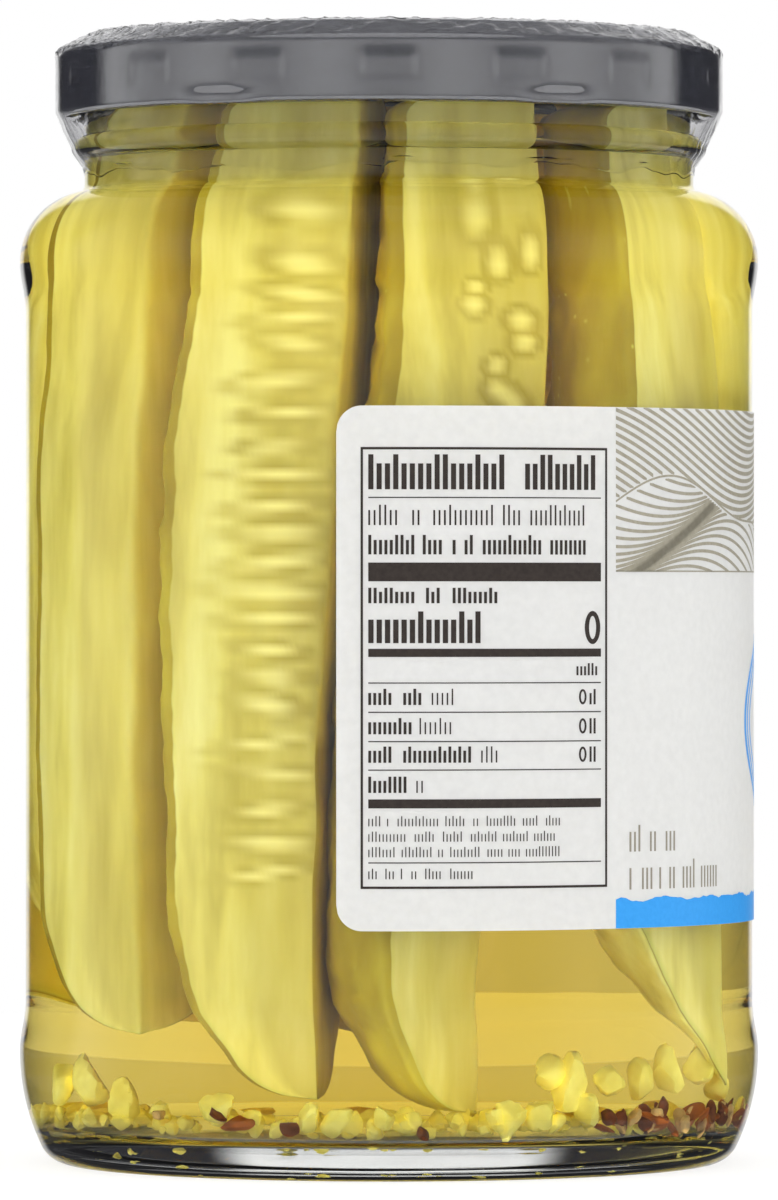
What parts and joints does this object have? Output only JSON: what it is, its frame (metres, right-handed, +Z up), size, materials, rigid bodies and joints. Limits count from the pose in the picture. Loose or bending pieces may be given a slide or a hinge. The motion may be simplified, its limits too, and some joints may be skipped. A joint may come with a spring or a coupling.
{
  "type": "pickle jar",
  "caption": "Closed glass jar of cucumber spears in brine, with a pressed metal twist-off cap, clear shrink seal and wrap-around paper label.",
  "frame": {"origin": "centre of the foot ring, on the surface that the jar stands on", "axes": "+Z up along the jar's axis; seen along +Y, the clear side is on the left and the label starts just left of the middle and wraps round to the right"},
  "size_m": [0.0943, 0.0942, 0.1439],
  "materials": {
    "glass": "clear flint glass, glossy",
    "cap_paint": "charcoal enamel, glossy",
    "clear_film": "clear shrink film, wrinkled and glossy",
    "label_paper": "smooth coated white paper, satin",
    "brine": "clear yellow-green liquid",
    "pickle": "wet pale flesh and olive skin",
    "garlic": "soft and slightly translucent",
    "spice": "dry seeds and flakes, soaked",
    "print": "printed ink on coated paper"
  },
  "bodies": {
    "root": {"jar": "glass", "cap": "cap_paint", "shrink_seal": "clear_film", "label": "label_paper", "brine": "brine"}
  },
  "joints": []
}
